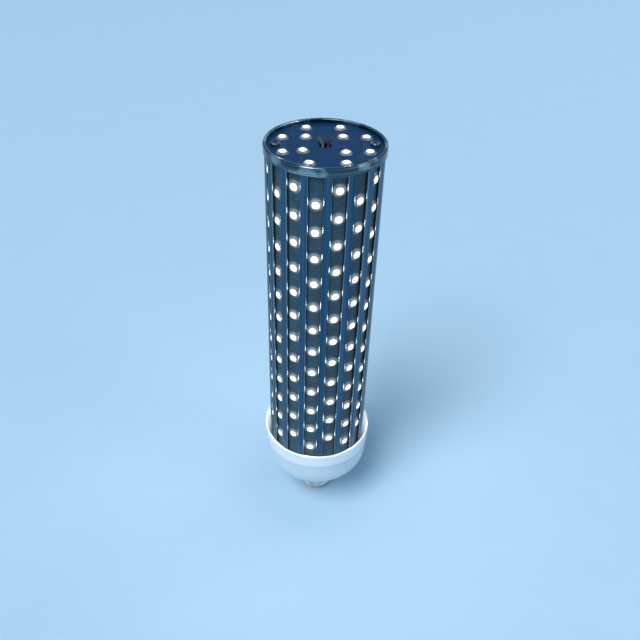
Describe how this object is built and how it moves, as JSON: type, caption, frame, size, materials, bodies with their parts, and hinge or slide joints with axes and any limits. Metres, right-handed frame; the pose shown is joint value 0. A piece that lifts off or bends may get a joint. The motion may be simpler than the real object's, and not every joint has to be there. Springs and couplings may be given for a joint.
{
  "type": "corn led bulb",
  "caption": "Tall corn-style led bulb: slotted aluminium tube with light strips all round, round light board on top, white base bowl and screw cap.",
  "frame": {"origin": "middle of the centre contact's face, on the cap's axis", "axes": "+Z along the tube, from the screw cap towards the top board; +X through a screw of the top board"},
  "size_m": [0.0772, 0.0772, 0.2887],
  "materials": {
    "cap_metal": "bright nickel plate",
    "contact_metal": "pressed, tinned",
    "cap_glass": "black vitreous insulator",
    "bowl_plastic": "glossy moulded white",
    "tube_aluminium": "extruded, plain",
    "ring_aluminium": "turned, polished",
    "strip_coating": "dark solder mask on an aluminium board",
    "top_coating": "navy solder mask on an aluminium board",
    "light_package": "white package with a round window, lit",
    "screw_steel": "dark plated steel",
    "joint_solder": "tin solder",
    "circuit_board": "fibre board",
    "liner_film": "milky film",
    "film_case": "dipped case",
    "can_sleeve": "shrink sleeve",
    "black_case": "moulded",
    "core_ferrite": "ferrite",
    "winding_tape": "wound tape",
    "white_wire": "wire insulation",
    "red_wire": "wire insulation"
  },
  "bodies": {
    "root": {"cap_shell": "cap_metal", "centre_contact": "contact_metal", "cap_insulator": "cap_glass", "base_bowl": "bowl_plastic", "heat_sink": "tube_aluminium", "end_ring": "ring_aluminium", "strip_board_01": "strip_coating", "strip_board_02": "strip_coating", "strip_board_03": "strip_coating", "strip_board_04": "strip_coating", "strip_board_05": "strip_coating", "strip_board_06": "strip_coating", "strip_board_07": "strip_coating", "strip_board_08": "strip_coating", "strip_board_09": "strip_coating", "strip_board_10": "strip_coating", "strip_board_11": "strip_coating", "strip_board_12": "strip_coating", "strip_board_13": "strip_coating", "strip_board_14": "strip_coating", "strip_board_15": "strip_coating", "strip_board_16": "strip_coating", "top_board": "top_coating", "led_row_01": "light_package", "led_row_02": "light_package", "led_row_03": "light_package", "led_row_04": "light_package", "led_row_05": "light_package", "led_row_06": "light_package", "led_row_07": "light_package", "led_row_08": "light_package", "led_row_09": "light_package", "led_row_10": "light_package", "led_row_11": "light_package", "led_row_12": "light_package", "led_row_13": "light_package", "led_row_14": "light_package", "led_row_15": "light_package", "led_row_16": "light_package", "top_leds": "light_package", "top_screws": "screw_steel", "bowl_screws": "screw_steel", "strip_joints": "joint_solder", "link_ring": "circuit_board", "driver_board": "circuit_board", "insulating_liner": "liner_film", "film_capacitor": "film_case", "bulk_capacitor": "can_sleeve", "output_capacitor": "can_sleeve", "mains_choke": "black_case", "rectifier": "black_case", "fuse": "black_case", "switching_chip": "black_case", "transformer_core": "core_ferrite", "transformer_winding": "winding_tape", "neutral_lead": "white_wire", "top_lead_white": "white_wire", "live_lead": "red_wire", "top_lead_red": "red_wire", "ring_leads": "red_wire"}
  },
  "joints": []
}
